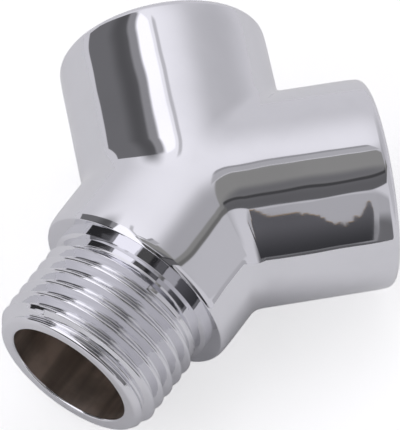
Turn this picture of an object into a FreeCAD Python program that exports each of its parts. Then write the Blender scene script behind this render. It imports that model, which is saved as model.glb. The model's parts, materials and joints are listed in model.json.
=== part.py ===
import FreeCAD, Part
import Sketcher
import math
import os

from FreeCAD import Vector

# Y-piece pipe connector: one brass casting with three legs of the same bore.
# The trunk carries a G 1/2 male thread, each of the two arms a G 1/2 female port.
# Millimetres. The three leg axes lie in the XY plane, so the part lies flat.
# The body is drawn from the point where its axes cross. It is then shifted along
# +Y, so that the part's origin is the centre of the shoulder that the male
# thread stands on. The male leg points along -Y and the arms spread towards +Y.

SIZES = [
    ("port_wall", 2.0225, "thread's crest to the outside of the trunk and arms"),
    ("arm_half_angle", 45, "degrees from +Y to each arm's axis"),
    ("arm_length", 21.9, "axes' crossing to an arm's mouth"),
    ("trunk_length", 12.85, "axes' crossing to the shoulder face"),
    ("mouth_edge_radius", 1.1, "rounding round each arm's mouth"),
    ("mouth_land", 0.3, "least flat width between that rounding and the port"),
    ("shoulder_edge_radius", 1.9, "rounding round the trunk's end, as cast"),
    ("shoulder_facing", 0.875, "turned off that end to leave the shoulder face"),
    ("side_fillet", 3.0, "between the trunk and each arm"),
    ("crotch_fillet", 1.0, "between the two arms"),
    ("thread_radius", 10.4775, "crest of the G 1/2 thread, male and female"),
    ("thread_depth", 1.162, "crest to root of the G 1/2 thread"),
    ("male_length", 13.35, "shoulder face to the end of the male leg"),
    ("male_chamfer_length", 1.7, "lead-in cone at the end of the male leg"),
    ("male_end_rounding", 0.7, "between that cone and the end face"),
    ("neck_length", 0.73, "plain neck between the shoulder face and its chamfer"),
    ("neck_chamfer_length", 0.24, "chamfer at the end of the neck"),
    ("neck_chamfer_depth", 0.52, "chamfer at the end of the neck"),
    ("relief_length", 0.55, "groove at the thread's core, where the thread begins"),
    ("waterway_radius", 7.7, "passage through all three legs"),
    ("waterway_chamfer", 0.3, "chamfer where the passage leaves the male leg"),
    ("port_depth", 11.0, "arm's mouth to the full depth of its port"),
    ("port_countersink", 0.3, "how far the countersink is wider than the thread"),
    ("drill_half_angle", 59, "degrees, cone that the port's drill leaves"),
    ("cutter_overrun", 1.0, "how far a cut runs out past a mouth"),
]

LEFT_ARM = "90 + Sizes.arm_half_angle"
BODY_RADIUS = "Sizes.thread_radius + Sizes.port_wall"
CAST_END = "Sizes.trunk_length + Sizes.shoulder_facing"
THREAD_CORE = "Sizes.thread_radius - Sizes.thread_depth"
NECK_END = "Sizes.trunk_length + Sizes.neck_length"
RELIEF_START = f"{NECK_END} + Sizes.neck_chamfer_length"
RELIEF_END = f"{RELIEF_START} + Sizes.relief_length"
MALE_END = "Sizes.trunk_length + Sizes.male_length"
MOUTH_ROUNDING = (
    "min(Sizes.mouth_edge_radius;"
    " Sizes.port_wall - Sizes.port_countersink - Sizes.mouth_land)"
)


def make_sheet(doc):
    """Write the driving dimensions into the sheet: name, value and note."""
    sheet = doc.addObject("Spreadsheet::Sheet", "Sizes")
    for row, (alias, value, note) in enumerate(SIZES, start=1):
        sheet.set(f"A{row}", alias)
        sheet.set(f"B{row}", str(value))
        sheet.set(f"C{row}", note)
        sheet.setAlias(f"B{row}", alias)
    doc.recompute()
    return sheet


def origin_plane(body, role):
    """One of the body's own origin planes."""
    return next(item for item in body.Origin.OriginFeatures if item.Role == role)


def place_corner(sketch, line, letter, expression):
    """Hold one coordinate of a line's start: on the axis, or at an expression."""
    along = letter == "X"
    if expression == "0":
        axis = -2 if along else -1
        sketch.addConstraint(Sketcher.Constraint("PointOnObject", line, 1, axis))
        return
    start = sketch.getPoint(line, 1)
    value = start.x if along else start.y
    rule = Sketcher.Constraint(f"Distance{letter}", -1, 1, line, 1, value)
    index = sketch.addConstraint(rule)
    name = f"{letter.lower()}_{line}"
    sketch.renameConstraint(index, name)
    sketch.setExpression(f"Constraints.{name}", expression)


def half_section(body, name, direction, corners):
    """Closed outline to be turned about a leg's axis.

    Each corner is a distance along the leg's axis from the crossing and a
    radius, both as expressions of the sheet. The outline is drawn roughly and
    its constraints pull it to size. Direction is the leg's angle from +X.
    """
    sketch = body.newObject("Sketcher::SketchObject", name)
    sketch.AttachmentSupport = (origin_plane(body, "XY_Plane"), [""])
    sketch.MapMode = "FlatFace"
    sketch.setExpression("AttachmentOffset.Rotation.Angle", direction)
    count = len(corners)
    rough = []
    for index in range(count):
        turn = math.tau * index / count
        rough.append(Vector(20 - 10 * math.cos(turn), 20 + 10 * math.sin(turn), 0))
    for index in range(count):
        following = (index + 1) % count
        sketch.addGeometry(Part.LineSegment(rough[index], rough[following]), False)
    for index in range(count):
        following = (index + 1) % count
        joined = Sketcher.Constraint("Coincident", index, 2, following, 1)
        sketch.addConstraint(joined)
    for index, (along, radius) in enumerate(corners):
        place_corner(sketch, index, "X", along)
        place_corner(sketch, index, "Y", radius)
    return sketch


def turned(body, kind, name, direction, corners):
    """Revolution or Groove of a half section about its leg's axis."""
    sketch = half_section(body, f"{name}_section", direction, corners)
    feature = body.newObject(f"PartDesign::{kind}", name)
    feature.Profile = sketch
    feature.ReferenceAxis = (sketch, ["H_Axis"])
    feature.Angle = 360
    body.Document.recompute()
    return feature


def mirrored(body, name, original):
    """Repeat a feature of the left arm on the right arm."""
    feature = body.newObject("PartDesign::Mirrored", name)
    feature.Originals = [original]
    feature.MirrorPlane = (origin_plane(body, "YZ_Plane"), [""])
    body.Tip = feature
    body.Document.recompute()
    return feature


def rounded(body, name, base, radius, wanted):
    """Fillet every edge of the base feature that the test picks."""
    edges = []
    for number, edge in enumerate(base.Shape.Edges, start=1):
        if wanted(edge):
            edges.append(f"Edge{number}")
    if not edges:
        raise RuntimeError(f"{name}: no edge found")
    feature = body.newObject("PartDesign::Fillet", name)
    feature.Base = (base, edges)
    feature.setExpression("Radius", radius)
    body.Document.recompute()
    return feature


def in_plane(edge, normal):
    """Whether an edge lies in the plane of this normal through the crossing."""
    if edge.Degenerated:
        return False
    return all(abs(point.dot(normal)) < 1e-3 for point in edge.discretize(5))


def is_rim(edge, centre, radius):
    """A full circle of this radius about this centre."""
    if edge.Degenerated or not isinstance(edge.Curve, Part.Circle):
        return False
    same_radius = abs(edge.Curve.Radius - radius) < 1e-4
    return same_radius and edge.Curve.Center.distanceToPoint(centre) < 1e-3


def add_outside(body, sheet):
    """Trunk with its male leg, two arms, and the roundings between and on them."""
    trunk_corners = [
        ("0", "0"),
        ("0", BODY_RADIUS),
        (CAST_END, BODY_RADIUS),
        (CAST_END, "Sizes.thread_radius"),
        (f"{MALE_END} - Sizes.male_chamfer_length", "Sizes.thread_radius"),
        (MALE_END, THREAD_CORE),
        (MALE_END, "0"),
    ]
    turned(body, "Revolution", "trunk", "-90", trunk_corners)
    arm_corners = [
        ("0", "0"),
        ("0", BODY_RADIUS),
        ("Sizes.arm_length", BODY_RADIUS),
        ("Sizes.arm_length", "0"),
    ]
    left_arm = turned(body, "Revolution", "left_arm", LEFT_ARM, arm_corners)
    both_arms = mirrored(body, "right_arm", left_arm)

    radius = sheet.thread_radius + sheet.port_wall
    half_angle = math.radians(sheet.arm_half_angle)
    tilt = half_angle / 2
    side_normals = [
        Vector(math.sin(tilt), math.cos(tilt), 0),
        Vector(-math.sin(tilt), math.cos(tilt), 0),
    ]

    def at_side(edge):
        return any(in_plane(edge, normal) for normal in side_normals)

    def at_crotch(edge):
        return in_plane(edge, Vector(1, 0, 0))

    sides = rounded(body, "side_fillets", both_arms, "Sizes.side_fillet", at_side)
    crotch = rounded(body, "crotch", sides, "Sizes.crotch_fillet", at_crotch)
    across = sheet.arm_length * math.sin(half_angle)
    ahead = sheet.arm_length * math.cos(half_angle)
    mouths = [Vector(-across, ahead, 0), Vector(across, ahead, 0)]

    def at_mouth(edge):
        return any(is_rim(edge, centre, radius) for centre in mouths)

    rounded(body, "mouth_rims", crotch, MOUTH_ROUNDING, at_mouth)


def add_shoulder(body, sheet):
    """Round the trunk's cast end, then turn the shoulder face and the neck into it."""
    radius = sheet.thread_radius + sheet.port_wall
    cast_end = Vector(0, -sheet.trunk_length - sheet.shoulder_facing, 0)
    male_end = Vector(0, -sheet.trunk_length - sheet.male_length, 0)
    core_radius = sheet.thread_radius - sheet.thread_depth

    def at_cast_end(edge):
        return is_rim(edge, cast_end, radius)

    def at_male_end(edge):
        return is_rim(edge, male_end, core_radius)

    rounded(body, "shoulder_rim", body.Tip, "Sizes.shoulder_edge_radius", at_cast_end)
    thread_start = f"{RELIEF_END} + Sizes.thread_depth"
    turned_corners = [
        ("Sizes.trunk_length", f"{BODY_RADIUS} + Sizes.cutter_overrun"),
        (thread_start, f"{BODY_RADIUS} + Sizes.cutter_overrun"),
        (thread_start, "Sizes.thread_radius"),
        (RELIEF_END, THREAD_CORE),
        (RELIEF_START, THREAD_CORE),
        (RELIEF_START, "Sizes.thread_radius - Sizes.neck_chamfer_depth"),
        (NECK_END, "Sizes.thread_radius"),
        ("Sizes.trunk_length", "Sizes.thread_radius"),
    ]
    neck = turned(body, "Groove", "shoulder_and_neck", "-90", turned_corners)
    rounded(body, "male_end_rim", neck, "Sizes.male_end_rounding", at_male_end)


def add_inside(body):
    """The passage through all three legs and the two female ports."""
    mouth_radius = "Sizes.thread_radius + Sizes.port_countersink"
    countersink = "Sizes.thread_depth + Sizes.port_countersink"
    port_corners = [
        ("0", "0"),
        ("0", "Sizes.waterway_radius"),
        (
            "Sizes.arm_length - Sizes.port_depth"
            f" - ({THREAD_CORE} - Sizes.waterway_radius) / tan(Sizes.drill_half_angle)",
            "Sizes.waterway_radius",
        ),
        ("Sizes.arm_length - Sizes.port_depth", THREAD_CORE),
        (f"Sizes.arm_length - ({countersink})", THREAD_CORE),
        (
            "Sizes.arm_length + Sizes.cutter_overrun",
            f"{mouth_radius} + Sizes.cutter_overrun",
        ),
        ("Sizes.arm_length + Sizes.cutter_overrun", "0"),
    ]
    left_port = turned(body, "Groove", "left_port", LEFT_ARM, port_corners)
    mirrored(body, "right_port", left_port)
    waterway_corners = [
        ("0", "0"),
        ("0", "Sizes.waterway_radius"),
        (f"{MALE_END} - Sizes.waterway_chamfer", "Sizes.waterway_radius"),
        (
            f"{MALE_END} + Sizes.cutter_overrun",
            "Sizes.waterway_radius + Sizes.waterway_chamfer + Sizes.cutter_overrun",
        ),
        (f"{MALE_END} + Sizes.cutter_overrun", "0"),
    ]
    turned(body, "Groove", "waterway", "-90", waterway_corners)


def check(doc, body):
    """Stop if any feature failed, or if the part isn't one sound solid."""
    for item in doc.Objects:
        if "Invalid" in item.State or "Error" in item.State:
            raise RuntimeError(f"{item.Label} failed: {item.State}")
    shape = body.Shape
    if shape.isNull() or not shape.isValid() or len(shape.Solids) != 1:
        raise RuntimeError(f"{body.Label} is not one sound solid")
    print(f"{body.Label}: {shape.Volume / 1000:.3f} cm3, {len(shape.Faces)} faces")


def main():
    doc = FreeCAD.newDocument("y_piece")
    sheet = make_sheet(doc)
    body = doc.addObject("PartDesign::Body", "y_connector")
    body.Label = "y_connector"
    add_outside(body, sheet)
    add_shoulder(body, sheet)
    add_inside(body)
    body.setExpression("Placement.Base.y", "Sizes.trunk_length")
    doc.recompute()
    check(doc, body)
    os.makedirs("parts", exist_ok=True)
    body.Shape.exportStep(f"parts/{body.Label}.step")


main()
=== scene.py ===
import json
import math

import bmesh
import bpy
import numpy as np
from bpy.props import FloatProperty, FloatVectorProperty, PointerProperty
from mathutils import Matrix, Vector


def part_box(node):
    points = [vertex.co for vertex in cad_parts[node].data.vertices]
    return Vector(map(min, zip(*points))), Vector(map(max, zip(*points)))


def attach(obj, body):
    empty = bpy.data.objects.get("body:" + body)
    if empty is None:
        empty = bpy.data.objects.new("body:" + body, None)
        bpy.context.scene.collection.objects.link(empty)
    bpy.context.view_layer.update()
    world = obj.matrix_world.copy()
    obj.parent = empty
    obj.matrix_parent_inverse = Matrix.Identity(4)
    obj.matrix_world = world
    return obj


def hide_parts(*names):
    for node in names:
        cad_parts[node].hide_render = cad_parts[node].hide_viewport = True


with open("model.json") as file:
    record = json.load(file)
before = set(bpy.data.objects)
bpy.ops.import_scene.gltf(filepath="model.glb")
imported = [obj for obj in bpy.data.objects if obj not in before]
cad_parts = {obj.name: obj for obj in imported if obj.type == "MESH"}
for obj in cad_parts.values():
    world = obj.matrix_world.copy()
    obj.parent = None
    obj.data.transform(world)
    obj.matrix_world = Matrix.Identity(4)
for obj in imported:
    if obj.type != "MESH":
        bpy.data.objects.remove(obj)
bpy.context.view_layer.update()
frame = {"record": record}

# Looks of a chrome plated Y-piece pipe connector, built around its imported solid.
# Metres, in the frame of the solid: the trunk's axis is Y, with the male leg towards
# -Y, and the two arms spread towards +Y in the XY plane. The part lies flat on a floor.

bl_info = {
    "name": "Y-piece pipe connector",
    "version": (1, 0, 0),
    "blender": (4, 5, 0),
    "location": "View3D > Sidebar > Y-piece",
    "description": "Builds a chrome plated Y-piece pipe connector and its studio",
    "category": "Object",
}

MM = 0.001
NODE = "y_connector"
MOUNTS = {mount["name"]: mount for mount in frame["record"]["mounts"]}


def mount_radius(name):
    """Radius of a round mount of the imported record, in metres."""
    return MOUNTS[name]["dims"]["r_mm"] * MM


def crossing_and_reach():
    """Where the legs' axes cross on the trunk's axis, and how far out a port's mount is."""
    x, y, _ = MOUNTS["right_port"]["pos_m"]
    axis_x, axis_y, _ = MOUNTS["right_port"]["axis"]
    crossing = y - x * axis_y / axis_x
    return crossing, math.hypot(x, y - crossing)


LOW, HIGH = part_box(NODE)
TRUNK_LENGTH, PORT_REACH = crossing_and_reach()
CREST_RADIUS = mount_radius("male_thread")
ROOT_RADIUS = mount_radius("right_port")
PORT_COUNTERSINK = 0.3 * MM

# How finely the surface is cut: round each leg, along its curves and along its thread
COLUMNS = 240
BLEND_STEPS = 10
ROUNDING_STEPS = 6
STRAIGHT_STEPS = 8
THREAD_ARC_STEPS = 3
WELD_DISTANCE = 0.0001 * MM

# Ends of the threads: pitches that a port's cut takes to reach its depth, how far from
# the port's bottom it starts, and how far from the shoulder the male thread's first
# crest is on +X
RUN_OUT_PITCHES = 0.5
PORT_RUN_OUT = 1.0 * MM
MALE_CREST_PLACE = 1.98 * MM

# Finishes, by their place among the piece's materials
CHROME = 0
BARE_BRASS = 1
CUT_CHROME = 2

# UV map with turns round a leg and millimetres along it
LEG_PLACE = "leg_place"

# Noise that makes a smudge or a streak, and how fast rings and streaks wander
SMUDGE_RANGE = (0.42, 0.75)
STREAK_RANGE = (0.35, 0.68)
RING_WANDER = 0.4
STREAK_WANDER = 0.03

# Chrome: its colour's share under a smudge, its roughness with what smudges and rings
# add, its waves' height, and its rings' height as a share of that, polished or cut
SMUDGED_SHARE = 0.94
CHROME_ROUGHNESS = 0.02
SMUDGE_ROUGHNESS = 0.03
RING_ROUGHNESS = 0.03
WAVE_HEIGHT = 0.1 * MM
POLISHED_RINGS = 0.0006
CUT_RINGS = 0.2

# Bare brass: shares of its colour in streaks and stains, how far a stain covers, its
# roughness with what rings add, and its marks' height
DARK_STREAK = 0.6
LIGHT_STREAK = 1.3
STAIN = 0.35
STAIN_COVER = 0.5
BRASS_ROUGHNESS = 0.28
BRASS_RING_ROUGHNESS = 0.25
BRASS_MARK_HEIGHT = 0.01 * MM

# Pipe thread form, with lengths as shares of the pitch
FLANK_ANGLE = math.radians(27.5)
FORM_ROUNDING = 0.137329
FORM_DEPTH = 0.640327


class ConnectorSizes(bpy.types.PropertyGroup):
    """Driving sizes of the connector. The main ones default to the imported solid's."""

    body_radius: FloatProperty(
        name="Body radius",
        description="Outside of the trunk and of both arms",
        default=(HIGH.z - LOW.z) / 2,
        unit="LENGTH",
    )
    arm_half_angle: FloatProperty(
        name="Arm half angle",
        description="From the trunk's axis to each arm's axis",
        default=math.radians(45),
        unit="ROTATION",
    )
    arm_length: FloatProperty(
        name="Arm length",
        description="Axes' crossing to an arm's mouth",
        default=PORT_REACH + CREST_RADIUS + PORT_COUNTERSINK - ROOT_RADIUS,
        unit="LENGTH",
    )
    trunk_length: FloatProperty(
        name="Trunk length",
        description="Axes' crossing to the shoulder face",
        default=TRUNK_LENGTH,
        unit="LENGTH",
    )
    mouth_edge_radius: FloatProperty(
        name="Mouth edge radius",
        description="Rounding round each arm's mouth",
        default=1.1 * MM,
        unit="LENGTH",
    )
    polish_length: FloatProperty(
        name="Polish length",
        description="How far before a leg's edge the polishing has begun to round it off",
        default=2.4 * MM,
        unit="LENGTH",
    )
    polish_depth: FloatProperty(
        name="Polish depth",
        description="How much the polishing has taken off where the edge's rounding begins",
        default=0.06 * MM,
        unit="LENGTH",
    )
    shoulder_edge_radius: FloatProperty(
        name="Shoulder edge radius",
        description="Rounding round the trunk's end, as cast",
        default=1.9 * MM,
        unit="LENGTH",
    )
    shoulder_facing: FloatProperty(
        name="Shoulder facing",
        description="Turned off the cast end to leave the shoulder face",
        default=0.875 * MM,
        unit="LENGTH",
    )
    shoulder_corner: FloatProperty(
        name="Shoulder corner",
        description="Rounding left at the edge of the shoulder face",
        default=0.1 * MM,
        unit="LENGTH",
    )
    side_fillet: FloatProperty(
        name="Side fillet",
        description="Between the trunk and each arm, at the part's flat sides",
        default=3.0 * MM,
        unit="LENGTH",
    )
    crotch_fillet: FloatProperty(
        name="Crotch fillet",
        description="Between the two arms, at the part's flat sides",
        default=1.0 * MM,
        unit="LENGTH",
    )
    top_blend: FloatProperty(
        name="Top blend",
        description="How far the legs blend where their creases fade out, above and below",
        default=2.8 * MM,
        unit="LENGTH",
    )
    crest_radius: FloatProperty(
        name="Thread radius",
        description="Widest part of the male and of the female threads",
        default=CREST_RADIUS,
        unit="LENGTH",
    )
    root_radius: FloatProperty(
        name="Thread core radius",
        description="Narrowest part of the male and of the female threads",
        default=ROOT_RADIUS,
        unit="LENGTH",
    )
    thread_pitch: FloatProperty(
        name="Thread pitch",
        description="From one turn of the thread to the next",
        default=1.814 * MM,
        unit="LENGTH",
    )
    male_length: FloatProperty(
        name="Male length",
        description="Shoulder face to the end of the male leg",
        default=-LOW.y,
        unit="LENGTH",
    )
    male_chamfer: FloatProperty(
        name="Male chamfer",
        description="Length of the lead-in cone at the end of the male leg",
        default=1.7 * MM,
        unit="LENGTH",
    )
    passage_radius: FloatProperty(
        name="Passage radius",
        description="Waterway through all three legs",
        default=mount_radius("waterway"),
        unit="LENGTH",
    )
    passage_edge_radius: FloatProperty(
        name="Passage edge radius",
        description="Rounding where the waterway leaves the male leg",
        default=0.3 * MM,
        unit="LENGTH",
    )
    port_depth: FloatProperty(
        name="Port depth",
        description="Arm's mouth to the full depth of its port",
        default=11.0 * MM,
        unit="LENGTH",
    )
    port_countersink: FloatProperty(
        name="Port countersink",
        description="How far the countersink is wider than the thread",
        default=PORT_COUNTERSINK,
        unit="LENGTH",
    )
    drill_half_angle: FloatProperty(
        name="Drill half angle",
        description="Cone that the port's drill leaves",
        default=math.radians(59),
        unit="ROTATION",
    )
    male_end_rounding: FloatProperty(
        name="Male end rounding",
        description="Between the lead-in cone and the end face",
        default=0.7 * MM,
        unit="LENGTH",
    )
    neck_length: FloatProperty(
        name="Neck length",
        description="Plain neck between the shoulder face and the thread's relief",
        default=0.73 * MM,
        unit="LENGTH",
    )
    neck_chamfer_length: FloatProperty(
        name="Neck chamfer length",
        description="Length of the chamfer at the end of the neck",
        default=0.24 * MM,
        unit="LENGTH",
    )
    neck_chamfer_depth: FloatProperty(
        name="Neck chamfer depth",
        description="Depth of the chamfer at the end of the neck",
        default=0.52 * MM,
        unit="LENGTH",
    )
    relief_length: FloatProperty(
        name="Relief length",
        description="Groove turned down to the thread's core where the cut begins",
        default=0.55 * MM,
        unit="LENGTH",
    )


class FinishColours(bpy.types.PropertyGroup):
    """Colours of the two finishes."""

    chrome: FloatVectorProperty(
        name="Chrome",
        description="Polished chrome plate",
        subtype="COLOR",
        size=3,
        min=0,
        max=1,
        default=(0.83, 0.83, 0.86),
    )
    bare_brass: FloatVectorProperty(
        name="Bare brass",
        description="Unplated metal in the waterway",
        subtype="COLOR",
        size=3,
        min=0,
        max=1,
        default=(0.66, 0.58, 0.52),
    )


class Leg:
    """One leg's own axes and the columns of points that run round it.

    Outward, turning and direction are right-handed. The first half of the columns is
    on the side that across points to. Each side is the angle to the leg there and the
    fillet between them, and each column knows half of that angle and the fillet.
    """

    def __init__(self, crossing, angle, first_side, second_side):
        self.crossing = np.array(crossing)
        self.direction = np.array([math.cos(angle), math.sin(angle), 0])
        self.up = np.array([0, 0, 1])
        self.across = np.cross(self.up, self.direction)
        self.turn = np.linspace(-math.pi / 2, 3 * math.pi / 2, COLUMNS + 1)
        cosine = np.cos(self.turn)
        sine = np.sin(self.turn)
        self.outward = cosine[:, None] * self.across + sine[:, None] * self.up
        self.turning = -sine[:, None] * self.across + cosine[:, None] * self.up
        half = COLUMNS // 2
        ahead = np.arange(COLUMNS + 1) <= half
        gap, self.fillet = (np.where(ahead, *pair) for pair in zip(first_side, second_side))
        self.half_gap = gap / 2
        self.sides = ((slice(0, half + 1), 1), (slice(half, COLUMNS + 1), -1))
        self.reach = np.abs(cosine)

    def place(self, along, radius):
        """Points at these distances along and from the leg's axis, one column each."""
        along, radius = np.broadcast_arrays(along, radius)
        straight = along[..., None] * self.direction
        return self.crossing + straight + radius[..., None] * self.outward

    def aim(self, along, out, turning=0):
        """Unit vectors with these parts along, out from and round the leg's axis."""
        along, out, turning = np.broadcast_arrays(along, out, turning)
        vector = along[..., None] * self.direction
        vector = vector + out[..., None] * self.outward
        vector = vector + turning[..., None] * self.turning
        return vector / np.linalg.norm(vector, axis=-1, keepdims=True)


def grid_quads(rows, width, first=0):
    """Corners of the quads between a grid's points, which are numbered from first on."""
    index = first + np.arange(rows * width).reshape(rows, width)
    corners = (index[:-1, :-1], index[:-1, 1:], index[1:, 1:], index[1:, :-1])
    return np.stack(corners, axis=-1).reshape(-1, 4)


class Skin:
    """Patches of one closed surface, each a grid of points with normals of its own."""

    def __init__(self):
        self.patches = []
        self.count = 0

    def add(self, leg, points, normals, finish, columns=slice(None)):
        """Join a grid's rows and columns into quads that face along its normals."""
        rows, width = points.shape[:2]
        normals = np.broadcast_to(normals, points.shape)
        along = (points - leg.crossing) @ leg.direction / MM
        turn = np.broadcast_to(leg.turn[columns] / math.tau, along.shape)
        places = np.stack([turn, along], axis=-1).reshape(-1, 2)
        quads = grid_quads(rows, width, self.count)
        finishes = np.full(len(quads), finish)
        patch = (points.reshape(-1, 3), normals.reshape(-1, 3), places, quads, finishes)
        self.patches.append(patch)
        self.count += rows * width

    def mesh(self, name):
        """One welded mesh that keeps each patch's normals at its own face corners."""
        joined = (np.concatenate(part) for part in zip(*self.patches))
        points, normals, places, quads, finishes = joined
        corners = quads.ravel()
        mesh = bpy.data.meshes.new(name)
        mesh.from_pydata(points.tolist(), [], quads.tolist())
        mesh.polygons.foreach_set("material_index", finishes)
        kept = mesh.attributes.new("patch_normal", "FLOAT_VECTOR", "CORNER")
        kept.data.foreach_set("vector", normals[corners].ravel())
        mesh.uv_layers.new(name=LEG_PLACE).uv.foreach_set("vector", places[corners].ravel())
        work = bmesh.new()
        work.from_mesh(mesh)
        bmesh.ops.remove_doubles(work, verts=work.verts, dist=WELD_DISTANCE)
        work.to_mesh(mesh)
        work.free()
        kept = mesh.attributes["patch_normal"]
        corner_normals = np.zeros(len(mesh.loops) * 3)
        kept.data.foreach_get("vector", corner_normals)
        mesh.attributes.remove(kept)
        mesh.shade_smooth()
        mesh.normals_split_custom_set(corner_normals.reshape(-1, 3).tolist())
        return mesh


def steps(start, end, count):
    """Rows evenly spaced from start to end, either of which may differ by column."""
    share = np.linspace(0, 1, count + 1)[:, None]
    return np.asarray(start) * (1 - share) + np.asarray(end) * share


def blend_width(leg, sizes):
    """How far along this leg its blends reach from the sharp crease, for each column."""
    at_side = leg.fillet / np.tan(leg.half_gap)
    return at_side + (sizes.top_blend - at_side) * (1 - leg.reach)


def add_blend(skin, leg, columns, side, sizes):
    """Half of the blend with the leg on one side. It bends from a straight line of
    this leg towards the same line of the other one, and ends in the plane between."""
    # The side's first column may belong to the other side, so its second one is asked
    half_gap = leg.half_gap[columns][1]
    cosine, sine = math.cos(half_gap), math.sin(half_gap)
    middle = cosine * leg.direction + sine * side * leg.across
    between = sine * leg.direction - cosine * side * leg.across
    other = 2 * cosine * middle - leg.direction
    outward = leg.outward[columns]
    width = blend_width(leg, sizes)[columns][:, None]
    crease = sizes.body_radius * leg.reach[columns] / math.tan(half_gap)
    corner = leg.crossing + crease[:, None] * leg.direction + sizes.body_radius * outward
    share = np.linspace(0.5, 0, BLEND_STEPS + 1)[:, None, None]
    points = corner + width * ((1 - share) ** 2 * leg.direction + share**2 * other)
    advance = (1 - share) * leg.direction - share * other
    turning = np.gradient(points, leg.turn[columns], axis=1, edge_order=2)
    normals = np.cross(turning, np.broadcast_to(advance, points.shape))
    normals[0] -= (normals[0] @ between)[:, None] * between
    normals[-1] = outward
    normals[:, 0] = outward[0]
    normals[:, -1] = outward[-1]
    normals /= np.linalg.norm(normals, axis=-1, keepdims=True)
    skin.add(leg, points, normals, CHROME, columns)
    for end in (0, -1):
        add_crown(skin, leg, columns, end, points[:, end], sizes)


def add_crown(skin, leg, columns, end, edge, sizes):
    """Level patch between the end of a blend and the point above or below the crossing."""
    upward = leg.outward[columns][end]
    centre = np.broadcast_to(leg.crossing + sizes.body_radius * upward, edge.shape)
    grid = np.stack([edge, centre], axis=1)
    if np.cross(centre[0] - edge[0], edge[-1] - edge[0]) @ upward < 0:
        grid = grid[:, ::-1]
    skin.add(leg, grid, upward, CHROME, columns.start if end == 0 else columns.stop - 1)


def add_blends(skin, leg, sizes):
    """Both blends of this leg; returns how far along it they end, for each column."""
    for columns, side in leg.sides:
        add_blend(skin, leg, columns, side, sizes)
    crease = sizes.body_radius * leg.reach / np.tan(leg.half_gap)
    return crease + blend_width(leg, sizes)


def add_turned(skin, leg, start, end, finish, count=1):
    """Cone, cylinder or flat ring between two (along, radius) pairs."""
    along = steps(start[0], end[0], count)
    radius = steps(start[1], end[1], count)
    advance = np.mean(np.asarray(end[0]) - start[0])
    growth = end[1] - start[1]
    skin.add(leg, leg.place(along, radius), leg.aim(-growth, advance), finish)


def add_rounding(skin, leg, centre, edge, first, last, finish):
    """Rounding about a (along, radius) centre, between two angles from the leg's axis."""
    angle = steps(first, last, ROUNDING_STEPS)
    along = centre[0] + edge * np.cos(angle)
    radius = centre[1] + edge * np.sin(angle)
    skin.add(leg, leg.place(along, radius), leg.aim(np.cos(angle), np.sin(angle)), finish)


def add_polished_edge(skin, leg, crease_end, last, edge, sizes):
    """Outside of a leg from its blends to the start of its edge rounding, which ends
    at this distance along it; returns the rounding's centre and first angle."""
    body = sizes.body_radius
    slope = 3 * sizes.polish_depth / sizes.polish_length
    first = math.pi / 2 - math.atan(slope)
    low = body - sizes.polish_depth
    centre = (last - edge, low - edge * math.sin(first))
    end = centre[0] + edge * math.cos(first)
    start = end - sizes.polish_length
    add_turned(skin, leg, (crease_end, body), (start, body), CHROME, STRAIGHT_STEPS)
    share = steps(0, np.ones_like(leg.turn), STRAIGHT_STEPS)
    along = start + sizes.polish_length * share
    radius = body - sizes.polish_depth * share**3
    skin.add(leg, leg.place(along, radius), leg.aim(slope * share**2, 1), CHROME)
    return centre, first


def form_depth(place):
    """Depth of the thread form below its crest, from 0 to 1, at a place in pitches."""
    off = np.abs((place + 0.5) % 1 - 0.5)
    arc_end = FORM_ROUNDING * math.cos(FLANK_ANGLE)
    arc_drop = FORM_ROUNDING * (1 - math.sin(FLANK_ANGLE))
    crest = FORM_ROUNDING - np.sqrt(FORM_ROUNDING**2 - np.minimum(off, arc_end) ** 2)
    to_root = np.minimum(0.5 - off, arc_end)
    root = FORM_DEPTH - FORM_ROUNDING + np.sqrt(FORM_ROUNDING**2 - to_root**2)
    flank = arc_drop + (off - arc_end) / math.tan(FLANK_ANGLE)
    depth = np.where(off < arc_end, crest, np.where(0.5 - off < arc_end, root, flank))
    return depth / FORM_DEPTH


def form_stations():
    """Places in one pitch where the thread form needs a row of points."""
    swing = np.linspace(-1, 1, 2 * THREAD_ARC_STEPS + 1) * (math.pi / 2 - FLANK_ANGLE)
    arc = FORM_ROUNDING * np.sin(swing)
    return np.concatenate([arc, 0.5 + arc])


def smooth_step(value):
    """Value brought smoothly from 0 to 1, and held there beyond."""
    share = np.clip(value, 0, 1)
    return share * share * (3 - 2 * share)


def add_threaded(skin, leg, pitch, crest, span, radius_at, inside):
    """Threaded stretch whose rows follow the helix, cut off square at both ends.

    Crest is where the form's crest passes turn 0. Radius_at gives the radius at a
    distance along the leg and a turn. Rows that run past an end fold onto it.
    """
    low, high = min(span), max(span)
    stations = form_stations()
    first = math.floor((low - crest) / pitch) - 2
    last = math.ceil((high - crest) / pitch) + 1
    places = (np.arange(first, last)[:, None] + stations).reshape(-1, 1)
    along = np.clip(crest + pitch * (places + leg.turn / math.tau), low, high)
    sign = -1 if inside else 1
    if inside:
        along = along[::-1]
    tiny = 1e-7
    radius = radius_at(along, leg.turn)
    rise = (radius_at(along + tiny, leg.turn) - radius_at(along - tiny, leg.turn)) / (2 * tiny)
    angle = tiny / radius
    twist = (radius_at(along, leg.turn + angle) - radius_at(along, leg.turn - angle)) / (2 * tiny)
    normals = leg.aim(-sign * rise, sign * np.ones_like(rise), -sign * twist)
    skin.add(leg, leg.place(along, radius), normals, CUT_CHROME)


def add_passage(skin, leg, start, sizes):
    """Waterway of one leg, from this distance in to where it meets the other two."""
    meeting = sizes.passage_radius * leg.reach / np.tan(leg.half_gap)
    ends = [(start, sizes.passage_radius), (meeting, sizes.passage_radius)]
    add_turned(skin, leg, *ends, BARE_BRASS, STRAIGHT_STEPS)


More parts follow.
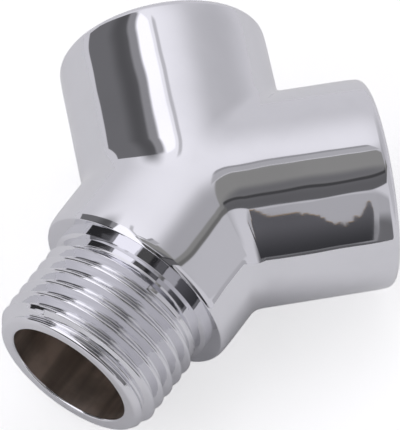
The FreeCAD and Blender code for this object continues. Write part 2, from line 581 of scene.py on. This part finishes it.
def add_arm(skin, leg, sizes):
    """One arm, from its crease out to the mouth and back in through its port."""
    mouth = sizes.arm_length
    edge = sizes.mouth_edge_radius
    crease_end = add_blends(skin, leg, sizes)
    centre, first = add_polished_edge(skin, leg, crease_end, mouth, edge, sizes)
    add_rounding(skin, leg, centre, edge, first, 0, CHROME)

    sink = sizes.port_countersink
    crest = sizes.crest_radius
    root = sizes.root_radius
    pitch = sizes.thread_pitch
    add_turned(skin, leg, (mouth, centre[1]), (mouth, crest + sink), CHROME)
    add_turned(skin, leg, (mouth, crest + sink), (mouth - sink, crest), CHROME)

    bottom = mouth - sizes.port_depth
    thread_end = bottom + PORT_RUN_OUT

    def radius_at(along, turn):
        form = 1 - form_depth((along - mouth) / pitch - turn / math.tau)
        cut = smooth_step((along - thread_end) / (RUN_OUT_PITCHES * pitch))
        cone = crest + sink - (mouth - along)
        return np.maximum(root + (crest - root) * form * cut, cone)

    span = (thread_end, mouth - sink)
    add_threaded(skin, leg, pitch, mouth, span, radius_at, inside=True)
    add_turned(skin, leg, (thread_end, root), (bottom, root), CHROME)
    passage_start = bottom - (root - sizes.passage_radius) / math.tan(sizes.drill_half_angle)
    passage_corner = (passage_start, sizes.passage_radius)
    add_turned(skin, leg, (bottom, root), passage_corner, CHROME)
    add_passage(skin, leg, passage_start, sizes)


def add_shoulder(skin, leg, crease_end, sizes):
    """Trunk with its rounded end, and the flat face that is turned into it."""
    shoulder = sizes.trunk_length
    rim = sizes.shoulder_edge_radius
    corner = sizes.shoulder_corner
    cast_end = shoulder + sizes.shoulder_facing
    rim_centre, first = add_polished_edge(skin, leg, crease_end, cast_end, rim, sizes)
    to_corner = shoulder - corner - rim_centre[0]
    rise = math.sqrt((rim - corner) ** 2 - to_corner**2)
    corner_centre = (shoulder - corner, rim_centre[1] + rise)
    meeting = math.atan2(rise, to_corner)
    add_rounding(skin, leg, rim_centre, rim, first, meeting, CHROME)
    add_rounding(skin, leg, corner_centre, corner, meeting, 0, CHROME)
    add_turned(skin, leg, (shoulder, corner_centre[1]), (shoulder, sizes.crest_radius), CHROME)


def add_trunk(skin, leg, sizes):
    """Trunk and male leg, from the crease out to its end and back in."""
    shoulder = sizes.trunk_length
    crease_end = add_blends(skin, leg, sizes)
    add_shoulder(skin, leg, crease_end, sizes)

    crest = sizes.crest_radius
    root = sizes.root_radius
    pitch = sizes.thread_pitch
    neck_end = (shoulder + sizes.neck_length, crest)
    relief_start = neck_end[0] + sizes.neck_chamfer_length
    relief_top = (relief_start, crest - sizes.neck_chamfer_depth)
    relief_end = relief_start + sizes.relief_length
    add_turned(skin, leg, (shoulder, crest), neck_end, CHROME)
    add_turned(skin, leg, neck_end, relief_top, CHROME)
    add_turned(skin, leg, relief_top, (relief_start, root), CHROME)
    add_turned(skin, leg, (relief_start, root), (relief_end, root), CHROME)

    end = shoulder + sizes.male_length
    first_crest = shoulder + MALE_CREST_PLACE
    cone_tilt = math.atan2(crest - root, sizes.male_chamfer)
    rounding = sizes.male_end_rounding
    reach = rounding * math.tan((math.pi / 2 - cone_tilt) / 2)
    thread_end = end - reach * math.cos(cone_tilt)

    def radius_at(along, turn):
        form = form_depth((along - first_crest) / pitch - turn / math.tau)
        rise = root + (along - relief_end)
        cone = root + (end - along) * (crest - root) / sizes.male_chamfer
        return np.minimum(np.minimum(crest - (crest - root) * form, rise), cone)

    add_threaded(skin, leg, pitch, first_crest, (relief_end, thread_end), radius_at, inside=False)

    end_centre = (end - rounding, root - reach)
    first = math.pi / 2 - cone_tilt
    add_rounding(skin, leg, end_centre, rounding, first, 0, CUT_CHROME)
    bore = sizes.passage_radius
    lip = sizes.passage_edge_radius
    add_turned(skin, leg, (end, root - reach), (end, bore + lip), CUT_CHROME)
    add_rounding(skin, leg, (end - lip, bore + lip), lip, 0, -math.pi / 2, CHROME)
    add_passage(skin, leg, end - lip, sizes)


def connector_mesh(name, sizes):
    """Whole skin of the connector: one closed surface."""
    half = sizes.arm_half_angle
    crossing = (0, sizes.trunk_length, 0)
    crotch = (2 * half, sizes.crotch_fillet)
    side = (math.pi - half, sizes.side_fillet)
    skin = Skin()
    add_arm(skin, Leg(crossing, math.pi / 2 - half, crotch, side), sizes)
    add_arm(skin, Leg(crossing, math.pi / 2 + half, side, crotch), sizes)
    add_trunk(skin, Leg(crossing, -math.pi / 2, side, side), sizes)
    return skin.mesh(name)


def add_object(name, data):
    """New object with this mesh or camera, in the scene."""
    item = bpy.data.objects.new(name, data)
    bpy.context.scene.collection.objects.link(item)
    return item


def link(tree, source, target):
    """Join an output socket to an input socket."""
    tree.links.new(source, target)


def feed(tree, value, target):
    """Join an output socket to an input socket, or set the input to a plain value."""
    if isinstance(value, bpy.types.NodeSocket):
        link(tree, value, target)
    else:
        target.default_value = value


def new_group(name, inputs, outputs):
    """Empty node group with (name, socket type, default) inputs and (name, type) outputs."""
    group = bpy.data.node_groups.new(name, "ShaderNodeTree")
    for title, kind, value in inputs:
        socket = group.interface.new_socket(title, in_out="INPUT", socket_type=kind)
        socket.default_value = value
    for title, kind in outputs:
        group.interface.new_socket(title, in_out="OUTPUT", socket_type=kind)
    return group, group.nodes.new("NodeGroupInput"), group.nodes.new("NodeGroupOutput")


def place_group(tree, group, **values):
    """Node group placed in a tree, with values for the inputs of these names."""
    node = tree.nodes.new("ShaderNodeGroup")
    node.node_tree = group
    for title, value in values.items():
        node.inputs[title.replace("_", " ")].default_value = value
    return node


def math_node(tree, operation, *values):
    """Math node whose inputs are sockets or numbers; returns its output."""
    node = tree.nodes.new("ShaderNodeMath")
    node.operation = operation
    for socket, value in zip(node.inputs, values):
        feed(tree, value, socket)
    return node.outputs[0]


def mix_colours(tree, share, first, second):
    """Colour mixed from two colours or sockets by this share; returns its output."""
    node = tree.nodes.new("ShaderNodeMix")
    node.data_type = "RGBA"
    link(tree, share, node.inputs[0])
    for socket, value in ((node.inputs[6], first), (node.inputs[7], second)):
        feed(tree, value if isinstance(value, bpy.types.NodeSocket) else (*value, 1), socket)
    return node.outputs[2]


def soft_step(tree, value, low, high):
    """Value brought smoothly from 0 at low to 1 at high; returns its output."""
    node = tree.nodes.new("ShaderNodeMapRange")
    node.interpolation_type = "SMOOTHSTEP"
    for title, entry in (("Value", value), ("From Min", low), ("From Max", high)):
        feed(tree, entry, node.inputs[title])
    return node.outputs[0]


def noise(tree, vector, scale, detail=2.0):
    """Noise texture at this scale over a vector; returns its value."""
    node = tree.nodes.new("ShaderNodeTexNoise")
    node.inputs["Detail"].default_value = detail
    link(tree, vector, node.inputs["Vector"])
    feed(tree, scale, node.inputs["Scale"])
    return node.outputs[0]


def leg_vector(tree, around, along):
    """Vector without a seam from the place on a leg, scaled around and along it."""
    place = tree.nodes.new("ShaderNodeUVMap")
    place.uv_map = LEG_PLACE
    parts = tree.nodes.new("ShaderNodeSeparateXYZ")
    link(tree, place.outputs[0], parts.inputs[0])
    angle = math_node(tree, "MULTIPLY", parts.outputs[0], math.tau)
    vector = tree.nodes.new("ShaderNodeCombineXYZ")
    for socket, kind in ((vector.inputs[0], "COSINE"), (vector.inputs[1], "SINE")):
        link(tree, math_node(tree, "MULTIPLY", math_node(tree, kind, angle), around), socket)
    link(tree, math_node(tree, "MULTIPLY", parts.outputs[1], along), vector.inputs[2])
    return vector.outputs[0]


def lathe_marks_group():
    """Marks that turning and drawing leave: rings round a leg and streaks along it."""
    inputs = [
        ("Rings per mm", "NodeSocketFloat", 6.0),
        ("Streaks", "NodeSocketFloat", 4.0),
    ]
    outputs = [("Rings", "NodeSocketFloat"), ("Streaks", "NodeSocketFloat")]
    group, start, end = new_group("lathe_marks", inputs, outputs)
    rings = leg_vector(group, RING_WANDER, start.outputs["Rings per mm"])
    link(group, noise(group, rings, 1.0), end.inputs["Rings"])
    streaks = leg_vector(group, start.outputs["Streaks"], STREAK_WANDER)
    link(group, noise(group, streaks, 1.0, detail=3.0), end.inputs["Streaks"])
    return group


def handling_group():
    """Faint smudges of handling and the slow waves of a hand-polished surface."""
    inputs = [
        ("Smudge scale", "NodeSocketFloat", 90.0),
        ("Wave scale", "NodeSocketFloat", 110.0),
    ]
    outputs = [("Smudges", "NodeSocketFloat"), ("Waves", "NodeSocketFloat")]
    group, start, end = new_group("handling", inputs, outputs)
    place = group.nodes.new("ShaderNodeTexCoord")
    spots = noise(group, place.outputs["Object"], start.outputs["Smudge scale"], detail=4.0)
    link(group, soft_step(group, spots, *SMUDGE_RANGE), end.inputs["Smudges"])
    waves = noise(group, place.outputs["Object"], start.outputs["Wave scale"], detail=1.0)
    link(group, waves, end.inputs["Waves"])
    return group


def blank_material(name):
    """Material with a Principled shader and nothing else; returns material, tree, shader."""
    material = bpy.data.materials.new(name)
    material.use_nodes = True
    tree = material.node_tree
    return material, tree, tree.nodes["Principled BSDF"]


def scaled(colour, factor):
    """Colour with each of its channels times this factor."""
    return tuple(channel * factor for channel in colour)


def bump(tree, shader, height, distance):
    """Raise the shader's surface by a height between 0 and 1 times this distance."""
    node = tree.nodes.new("ShaderNodeBump")
    node.inputs["Distance"].default_value = distance
    link(tree, height, node.inputs["Height"])
    link(tree, node.outputs[0], shader.inputs["Normal"])


def chrome_material(name, colours, lathe_marks, handling, ring_share):
    """Bright chrome plate with smudges, polished waves and rings of turning.

    Ring_share is the height of the rings as a share of the waves'.
    """
    material, tree, shader = blank_material(name)
    marks = place_group(tree, lathe_marks, Rings_per_mm=5.0)
    touch = place_group(tree, handling)
    smudged = scaled(colours.chrome, SMUDGED_SHARE)
    colour = mix_colours(tree, touch.outputs["Smudges"], colours.chrome, smudged)
    link(tree, colour, shader.inputs["Base Color"])
    dull = math_node(tree, "MULTIPLY", touch.outputs["Smudges"], SMUDGE_ROUGHNESS)
    ringed = math_node(tree, "MULTIPLY", marks.outputs["Rings"], RING_ROUGHNESS)
    marked = math_node(tree, "ADD", dull, ringed)
    roughness = math_node(tree, "ADD", marked, CHROME_ROUGHNESS)
    link(tree, roughness, shader.inputs["Roughness"])
    shader.inputs["Metallic"].default_value = 1
    rings = math_node(tree, "MULTIPLY", marks.outputs["Rings"], ring_share)
    height = math_node(tree, "ADD", touch.outputs["Waves"], rings)
    bump(tree, shader, height, WAVE_HEIGHT)
    return material


def brass_material(colours, lathe_marks, handling):
    """Bare dull brass of the waterway, with streaks along it and stains."""
    material, tree, shader = blank_material("bare_brass")
    marks = place_group(tree, lathe_marks, Rings_per_mm=3.0, Streaks=2.2)
    touch = place_group(tree, handling, Smudge_scale=220.0, Wave_scale=900.0)
    brass = colours.bare_brass
    streak = soft_step(tree, marks.outputs["Streaks"], *STREAK_RANGE)
    drawn = mix_colours(tree, streak, scaled(brass, DARK_STREAK), scaled(brass, LIGHT_STREAK))
    stain = math_node(tree, "MULTIPLY", touch.outputs["Smudges"], STAIN_COVER)
    colour = mix_colours(tree, stain, drawn, scaled(brass, STAIN))
    link(tree, colour, shader.inputs["Base Color"])
    dull = math_node(tree, "MULTIPLY", marks.outputs["Rings"], BRASS_RING_ROUGHNESS)
    link(tree, math_node(tree, "ADD", dull, BRASS_ROUGHNESS), shader.inputs["Roughness"])
    shader.inputs["Metallic"].default_value = 1
    height = math_node(tree, "ADD", touch.outputs["Waves"], marks.outputs["Rings"])
    bump(tree, shader, height, BRASS_MARK_HEIGHT)
    return material


# Studio seen from the object. A direction's place on the map is its angle from
# straight up, in degrees, laid off along X and Y. Each card lies between a left
# and a right edge, which may lean with Y, and between a low and a high Y. A card's
# line holds these inputs, then its grey and its tint.
CARD_INPUTS = ("Left", "Left lean", "Right", "Right lean", "Low", "High", "Softness")
CARDS = {
    "glow": (-62, 0, 3, 0, -16, 35, 36, 0.97, "COOL"),
    "far_dim": (-2, 0, 48, 0, 36, 80, 32, 0.52, "COOL"),
    "trunk_dim": (6, 0, 70, 0, 8, 42, 20, 0.42, "COOL"),
    "trunk_right": (38, 0, 85, 0, 12, 60, 3, 0.545, "COOL"),
    "trunk_line": (95, -0.3, 101, -0.3, 26, 50, 2.5, 0.45, "COOL"),
    "near_light": (-180, 0, 180, 0, -180, -60, 6, 0.72, "COOL"),
    "left_dark": (-88, 0, -46, 0, -29, 14, 1.5, 0.165, "COOL"),
    "left_edge": (-60, 0.1, -46.5, 0.1, -40, 20, 14, 0.09, "COOL"),
    "left_mid": (-47.5, 0, -40.5, 0, -29, 14, 3, 0.29, "COOL"),
    "left_black": (-84, 0, -40, 0, -46, -28, 1.5, 0.03, "COOL"),
    "front_dark": (-9, 0, -3, -1.165, -60, -20, 2, 0.09, "WARM"),
    "front_black": (8, 0, 31, 0, -42, -20, 3, 0.03, "COOL"),
    "end_grey": (9, -1.214, 26, -1.214, -62, -17, 5, 0.43, "COOL"),
    "end_low": (84, 0.84, 130, 0.84, -66, -28, 18, 0.16, "COOL"),
    "right_grey": (2, -1.165, 11.1, -1.214, -54.5, -19, 1, 0.44, "COOL"),
    "right_low": (2, -1.165, 11.1, -1.214, -60, -40, 10, 0.18, "COOL"),
    "far_line": (146.2, 1.3, 152, 1.3, -75, -40, 0.6, 0.12, "COOL"),
    "band": (22.75, 0.326, 34.3, 0.217, -34, 16, 1.5, 0.125, "COOL"),
    "seam": (22.75, 0.326, 34.3, 0.217, 12, 40, 2.5, 0.26, "WARM"),
    "seam_line": (27.7, 0.326, 34.5, 0.217, 10, 40, 2.5, 0.16, "WARM"),
    "capsule_edge": (-21.5, 1, -12, 1, 4, 18, 1, 0.46, "COOL"),
    "capsule_outline": (-22, 1, -19, 1, 4, 18, 1, 0.34, "COOL"),
    "capsule": (-11.2, 1, 23, 0.326, -14, 16, 1.5, 0.275, "WARM"),
    "capsule_low": (15, 1, 25, 0.326, -16, 18, 12, 0.16, "COOL"),
    "capsule_line": (22.2, 0.326, 25.2, 0.326, -34, 12, 1.5, 0.06, "COOL"),
    "white_outline": (-19.6, -0.5, -15.8, -0.5, -20, 19, 2, 0.57, "COOL"),
    "white_strip": (-40, 0.1, -23, -0.5, -72, 15, 1.5, 1.2, "COOL"),
    "horizon_black": (-66, 0, 46, 0, -101, -72, 2, 0.03, "COOL"),
}
TINTS = {"COOL": (1, 0.988, 1.04), "WARM": (1.01, 1, 0.975)}
WHITE = (1, 1, 1)
BLACK = (0, 0, 0)

# Dark flag near the right arm that only the metal sees, painting a dark reflection in it: its upper
# edge, as shares of its width and heights in millimetres above the legs' axes, its foot's height,
# and its grid
FLAG_EDGE_PLACES = (0, 0.1, 0.24, 0.37, 0.51, 0.65, 0.75, 0.85, 0.92, 0.99, 1)
FLAG_EDGE_HEIGHTS = (115, 111, 87, 81, 71, 47, 38, 51, 80, 58, 47)
FLAG_FOOT = 5.0
FLAG_COLUMNS = 160
FLAG_ROWS = (0, 0.2, 0.4, 0.6, 0.8, 0.95, 1)

# How far and into how many threads the flag's edge frays, and the seed of its threads
FLAG_FRAY = 3.5
FLAG_THREADS = 62
FLAG_SEED = 7

# The flag's near side and width in millimetres at the axes' height, and how the side
# leans and the width grows with the square of the height
FLAG_SIDE = 0.9
FLAG_WIDTH = 16.4
FLAG_LEAN = 0.00062
FLAG_SPREAD = 0.00015

# Glowing colours that paint the flag's reflection in the metal, at its foot, over the rest of it
# and at the hem, how high the foot's colour reaches, and where the hem begins, as shares of the
# height
FOOT_GLOW = (0.04, 0.04, 0.044)
CLOTH_GLOW = (0.115, 0.113, 0.123)
HEM_GLOW = (0.3, 0.21, 0.12)
FOOT_FADE = 60 * MM
HEM_RANGE = (0.95, 0.98)

# Floor: its squares along a side, how far its edges bend down and from what share of
# the way out, and the gap that keeps it clear of the legs' lowest lines
FLOOR_COLUMNS = 24
FLOOR_DROP = 0.2 * MM
FLOOR_LEVEL_SHARE = 0.9
FLOOR_GAP = 0.005 * MM

# Middle of the shade painted on the paper under the male end, where it adds less light towards the
# metal, and where that painted shade starts and stops thinning
SHADE_PLACE = (5 * MM, -2 * MM, -12.5 * MM)
SHADE_REACH = (8 * MM, 34 * MM)

# Camera: its direction from the legs' crossing, the direction that is up in its picture,
# the picture's shift as shares of its width, its frame in millimetres, and the nearest
# and farthest that it sees, in metres
CAMERA_TOWARDS = (0.2447, -0.4095, 0.8789)
CAMERA_UP = (-0.5036, 0.7209, 0.4761)
CAMERA_SHIFT = (0.01005, -0.0090)
CAMERA_FRAME = 36
CAMERA_RANGE = (0.01, 10)


def map_group():
    """Direction in the studio to its place on the map of directions."""
    inputs = [("Direction", "NodeSocketVector", (0, 0, 1))]
    outputs = [("X", "NodeSocketFloat"), ("Y", "NodeSocketFloat")]
    group, start, end = new_group("studio_map", inputs, outputs)
    parts = group.nodes.new("ShaderNodeSeparateXYZ")
    link(group, start.outputs[0], parts.inputs[0])
    squares = []
    for index in (0, 1):
        size = math_node(group, "ABSOLUTE", parts.outputs[index])
        squares.append(math_node(group, "POWER", size, 2))
    level = math_node(group, "SQRT", math_node(group, "ADD", *squares))
    angle = math_node(group, "ARCTAN2", level, parts.outputs[2])
    degrees = math_node(group, "MULTIPLY", angle, 180 / math.pi)
    tiny = 1e-4
    factor = math_node(group, "DIVIDE", degrees, math_node(group, "MAXIMUM", level, tiny))
    for index in (0, 1):
        link(group, math_node(group, "MULTIPLY", parts.outputs[index], factor), end.inputs[index])
    return group


def card_group():
    """Mask of one card on the map of directions."""
    inputs = [(name, "NodeSocketFloat", 0.0) for name in ("X", "Y", *CARD_INPUTS)]
    group, start, end = new_group("studio_card", inputs, [("Mask", "NodeSocketFloat")])
    value = start.outputs
    left = math_node(group, "MULTIPLY_ADD", value["Y"], value["Left lean"], value["Left"])
    right = math_node(group, "MULTIPLY_ADD", value["Y"], value["Right lean"], value["Right"])
    inside = [
        math_node(group, "SUBTRACT", value["X"], left),
        math_node(group, "SUBTRACT", right, value["X"]),
        math_node(group, "SUBTRACT", value["Y"], value["Low"]),
        math_node(group, "SUBTRACT", value["High"], value["Y"]),
    ]
    across = math_node(group, "SMOOTH_MIN", inside[0], inside[1], value["Softness"])
    along = math_node(group, "SMOOTH_MIN", inside[2], inside[3], value["Softness"])
    depth = math_node(group, "SMOOTH_MIN", across, along, value["Softness"])
    half = math_node(group, "MULTIPLY", value["Softness"], 0.5)
    mask = soft_step(group, depth, math_node(group, "MULTIPLY", half, -1), half)
    link(group, mask, end.inputs[0])
    return group


def studio_world(settings):
    """Pale studio with cards for the metal to reflect, and plain white behind it all."""
    world = bpy.data.worlds.new("studio")
    world.use_nodes = True
    tree = world.node_tree
    tree.nodes.clear()
    direction = tree.nodes.new("ShaderNodeTexCoord")
    studio_map = place_group(tree, map_group())
    link(tree, direction.outputs["Generated"], studio_map.inputs[0])
    card = card_group()
    colour = scaled(TINTS["COOL"], settings.studio_grey)
    for *places, grey, tint in CARDS.values():
        mask = place_group(tree, card, **dict(zip(CARD_INPUTS, places)))
        link(tree, studio_map.outputs[0], mask.inputs["X"])
        link(tree, studio_map.outputs[1], mask.inputs["Y"])
        colour = mix_colours(tree, mask.outputs[0], colour, scaled(TINTS[tint], grey))
    path = tree.nodes.new("ShaderNodeLightPath")
    seen = mix_colours(tree, path.outputs["Is Camera Ray"], colour, WHITE)
    background = tree.nodes.new("ShaderNodeBackground")
    link(tree, seen, background.inputs["Color"])
    output = tree.nodes.new("ShaderNodeOutputWorld")
    link(tree, background.outputs[0], output.inputs["Surface"])
    return world


def floor_material(settings):
    """Pale paper that stays white to the camera and in the metal, but keeps the shadow, and has a
    shade painted under the male end, where it adds less light towards the metal."""
    material, tree, shader = blank_material("studio_floor")
    place = tree.nodes.new("ShaderNodeTexCoord")
    fibre = noise(tree, place.outputs["Object"], 900.0, detail=3.0)
    darker = scaled(settings.floor_colour, 0.98)
    link(tree, mix_colours(tree, fibre, settings.floor_colour, darker), shader.inputs["Base Color"])
    shader.inputs["Roughness"].default_value = 0.9
    shader.inputs["Specular IOR Level"].default_value = 0.1
    shader.inputs["Emission Strength"].default_value = settings.floor_lift
    path = tree.nodes.new("ShaderNodeLightPath")
    away = tree.nodes.new("ShaderNodeVectorMath")
    away.operation = "DISTANCE"
    link(tree, place.outputs["Object"], away.inputs[0])
    away.inputs[1].default_value = SHADE_PLACE
    # Painted shade: near the male end the paper adds less of its light towards the metal
    lit = soft_step(tree, away.outputs["Value"], *SHADE_REACH)
    mirrored = mix_colours(tree, lit, BLACK, scaled(WHITE, settings.mirrored_lift))
    seen = mix_colours(tree, path.outputs["Is Glossy Ray"], BLACK, mirrored)
    seen = mix_colours(tree, path.outputs["Is Camera Ray"], seen, WHITE)
    link(tree, seen, shader.inputs["Emission Color"])
    return material


def flag_material():
    """Dark flag whose colours glow, painting its reflection in the metal: darker towards its foot,
    with a thin brown hem along the frayed edge.
    """
    material, tree, shader = blank_material("studio_flag")
    place = tree.nodes.new("ShaderNodeTexCoord")
    parts = tree.nodes.new("ShaderNodeSeparateXYZ")
    link(tree, place.outputs["Object"], parts.inputs[0])
    # Painted reflection: the flag's colours glow rather than being lit, darker towards the foot
    raised = soft_step(tree, parts.outputs[2], 0, FOOT_FADE)
    flag_glow = mix_colours(tree, raised, FOOT_GLOW, CLOTH_GLOW)
    share = tree.nodes.new("ShaderNodeSeparateXYZ")
    link(tree, place.outputs["UV"], share.inputs[0])
    hem = soft_step(tree, share.outputs[1], *HEM_RANGE)
    link(tree, mix_colours(tree, hem, flag_glow, HEM_GLOW), shader.inputs["Emission Color"])
    shader.inputs["Base Color"].default_value = (*BLACK, 1)
    shader.inputs["Specular IOR Level"].default_value = 0
    shader.inputs["Emission Strength"].default_value = 1
    return material


class StudioSettings(bpy.types.PropertyGroup):
    """Floor, light and camera of the studio."""

    floor_size: FloatProperty(
        name="Floor size",
        description="Side of the square of pale paper that the object lies on",
        default=0.36,
        unit="LENGTH",
    )
    floor_colour: FloatVectorProperty(
        name="Floor colour",
        description="Colour of the pale paper",
        subtype="COLOR",
        size=3,
        min=0,
        max=1,
        default=(0.9, 0.9, 0.9),
    )
    floor_lift: FloatProperty(
        name="Floor lift",
        description="Light that the paper adds towards the camera, so that it shows white",
        default=0.55,
    )
    mirrored_lift: FloatProperty(
        name="Mirrored lift",
        description="Share of that light which the paper adds towards the metal",
        default=0.26,
    )
    studio_grey: FloatProperty(
        name="Studio grey",
        description="Brightness of the studio between its cards",
        default=0.655,
    )
    flag_distance: FloatProperty(
        name="Flag distance",
        description="From where the legs' axes cross to the dark flag near the right arm",
        default=80 * MM,
        unit="LENGTH",
    )
    flag_azimuth: FloatProperty(
        name="Flag azimuth",
        description="Direction from the legs' crossing to the dark flag",
        default=math.radians(-36),
        unit="ROTATION",
    )
    camera_distance: FloatProperty(
        name="Camera distance",
        description="From the camera to where the legs' axes cross",
        default=0.47956,
        unit="LENGTH",
    )
    focal_length: FloatProperty(
        name="Focal length",
        description="Lens of the camera on a 36 mm frame, in millimetres",
        default=342.34,
    )


def build_floor(settings, sizes):
    """Square of paper under the lowest line of the three legs, with soft edges bent down."""
    half = settings.floor_size / 2
    line = np.linspace(-half, half, FLOOR_COLUMNS + 1)
    x, y = np.meshgrid(line, line)
    out = np.maximum(np.abs(x), np.abs(y)) / half
    bent = smooth_step((out - FLOOR_LEVEL_SHARE) / (1 - FLOOR_LEVEL_SHARE))
    z = -sizes.body_radius - FLOOR_GAP - FLOOR_DROP * bent
    points = np.stack([x, y + sizes.trunk_length, z], axis=-1).reshape(-1, 3)
    mesh = bpy.data.meshes.new("floor")
    mesh.from_pydata(points.tolist(), [], grid_quads(*z.shape).tolist())
    mesh.shade_smooth()
    mesh.materials.append(floor_material(settings))
    floor = add_object("floor", mesh)


def build_flag(settings, sizes):
    """Upright dark flag that only the metal sees, as a painted reflection; its sides lean out with
    the square of the height, so that they are straight in the right arm."""
    across = np.linspace(0, 1, FLAG_COLUMNS + 1)
    threads = np.random.default_rng(FLAG_SEED).normal(0, FLAG_FRAY, FLAG_THREADS)
    fray = np.interp(across, np.linspace(0, 1, FLAG_THREADS), threads)
    top = np.interp(across, FLAG_EDGE_PLACES, FLAG_EDGE_HEIGHTS) + fray
    rise = np.array(FLAG_ROWS)[:, None]
    height = FLAG_FOOT + (top - FLAG_FOOT) * rise
    lean = (FLAG_LEAN + FLAG_SPREAD * across) * height**2
    aside = FLAG_SIDE + FLAG_WIDTH * across + lean
    ahead = np.array([math.cos(settings.flag_azimuth), math.sin(settings.flag_azimuth), 0])
    sideways = np.array([-ahead[1], ahead[0], 0])
    points = aside[..., None] * sideways + height[..., None] * np.array([0, 0, 1])
    points = points * MM + settings.flag_distance * ahead + (0, sizes.trunk_length, 0)
    quads = grid_quads(*height.shape)
    mesh = bpy.data.meshes.new("flag")
    mesh.from_pydata(points.reshape(-1, 3).tolist(), [], quads.tolist())
    places = np.stack(np.broadcast_arrays(across, rise), axis=-1).reshape(-1, 2)
    mesh.uv_layers.new(name="flag_place").uv.foreach_set("vector", places[quads.ravel()].ravel())
    mesh.materials.append(flag_material())
    flag = add_object("flag", mesh)
    flag.visible_camera = False
    flag.visible_diffuse = False
    flag.visible_shadow = False


def build_camera(settings, sizes):
    """Camera above the male leg's end, turned as a hand-held one."""
    towards = Vector(CAMERA_TOWARDS).normalized()
    right = Vector(CAMERA_UP).cross(towards).normalized()
    up = towards.cross(right)
    target = Vector((0, sizes.trunk_length, 0))
    turn = Matrix((right, up, towards)).transposed().to_4x4()
    camera = bpy.data.cameras.new("camera")
    camera.lens = settings.focal_length
    camera.sensor_width = CAMERA_FRAME
    camera.shift_x, camera.shift_y = CAMERA_SHIFT
    camera.clip_start, camera.clip_end = CAMERA_RANGE
    view = add_object("camera", camera)
    view.matrix_world = Matrix.Translation(target + towards * settings.camera_distance) @ turn
    bpy.context.scene.camera = view


class OBJECT_OT_build_connector(bpy.types.Operator):
    """Build the connector's skin with its threads, and give it its finishes"""

    bl_idname = "object.build_connector"
    bl_label = "Build connector"

    def execute(self, context):
        mesh = connector_mesh("connector", context.scene.connector_sizes)
        colours = context.scene.finish_colours
        groups = (lathe_marks_group(), handling_group())
        mesh.materials.append(chrome_material("polished_chrome", colours, *groups, POLISHED_RINGS))
        mesh.materials.append(brass_material(colours, *groups))
        mesh.materials.append(chrome_material("cut_chrome", colours, *groups, CUT_RINGS))
        piece = add_object("connector", mesh)
        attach(piece, "root")
        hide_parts(NODE)
        return {"FINISHED"}


class SCENE_OT_build_studio(bpy.types.Operator):
    """Lay the floor and set up the light and the camera"""

    bl_idname = "scene.build_studio"
    bl_label = "Build studio"

    def execute(self, context):
        sizes = context.scene.connector_sizes
        settings = context.scene.studio_settings
        build_floor(settings, sizes)
        build_flag(settings, sizes)
        context.scene.world = studio_world(settings)
        build_camera(settings, sizes)
        context.scene.view_settings.view_transform = "Standard"
        return {"FINISHED"}


class VIEW3D_PT_connector(bpy.types.Panel):
    """Sizes, finishes and studio of the connector"""

    bl_idname = "VIEW3D_PT_connector"
    bl_label = "Y-piece connector"
    bl_space_type = "VIEW_3D"
    bl_region_type = "UI"
    bl_category = "Y-piece"

    def draw(self, context):
        scene = context.scene
        layout = self.layout
        for group in (scene.connector_sizes, scene.finish_colours, scene.studio_settings):
            box = layout.box()
            for name in group.__annotations__:
                box.prop(group, name)
        layout.operator(OBJECT_OT_build_connector.bl_idname)
        layout.operator(SCENE_OT_build_studio.bl_idname)


CLASSES = (
    ConnectorSizes,
    FinishColours,
    StudioSettings,
    OBJECT_OT_build_connector,
    SCENE_OT_build_studio,
    VIEW3D_PT_connector,
)


def register():
    """Make the classes and their settings known to Blender."""
    for item in CLASSES:
        bpy.utils.register_class(item)
    bpy.types.Scene.connector_sizes = PointerProperty(type=ConnectorSizes)
    bpy.types.Scene.finish_colours = PointerProperty(type=FinishColours)
    bpy.types.Scene.studio_settings = PointerProperty(type=StudioSettings)


def unregister():
    """Take the settings and the classes out of Blender again."""
    del bpy.types.Scene.studio_settings
    del bpy.types.Scene.finish_colours
    del bpy.types.Scene.connector_sizes
    for item in reversed(CLASSES):
        bpy.utils.unregister_class(item)


def main():
    register()
    bpy.ops.object.build_connector()
    bpy.ops.scene.build_studio()


if __name__ == "__main__":
    main()
